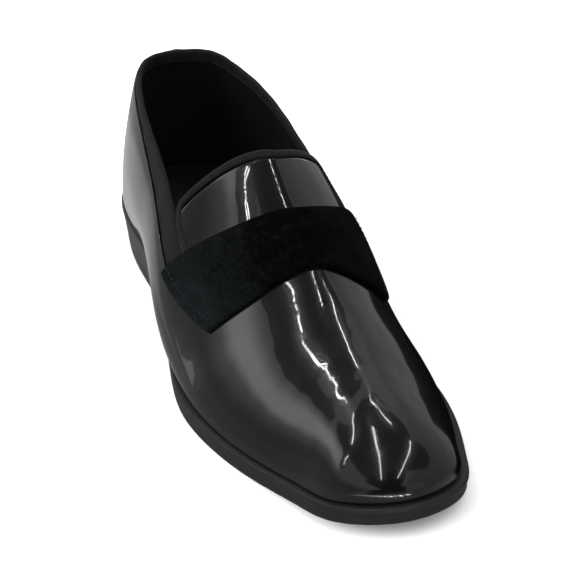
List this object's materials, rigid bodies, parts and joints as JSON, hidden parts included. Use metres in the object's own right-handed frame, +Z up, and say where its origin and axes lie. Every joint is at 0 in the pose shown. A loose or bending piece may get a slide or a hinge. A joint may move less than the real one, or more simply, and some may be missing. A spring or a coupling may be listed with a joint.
{
  "type": "dress loafer",
  "caption": "Right-foot slip-on dress shoe: glossy hollow upper open at the collar, wide cloth strap over the vamp, moulded sole with low heel.",
  "frame": {"origin": "centre of the shoe's plan, on the floor it stands on", "axes": "+X towards the toe, +Y towards the inner side of the foot, +Z up"},
  "size_m": [0.3, 0.1046, 0.0916],
  "materials": {
    "patent_leather": "mirror gloss",
    "sole_rubber": "matte",
    "velvet": "velvet",
    "edge_fabric": "matte",
    "sock_fabric": "matte"
  },
  "bodies": {
    "root": {"upper": "patent_leather", "outsole": "sole_rubber", "strap": "velvet", "collar_band": "edge_fabric", "throat_binding": "edge_fabric", "insole": "sock_fabric"}
  },
  "joints": []
}
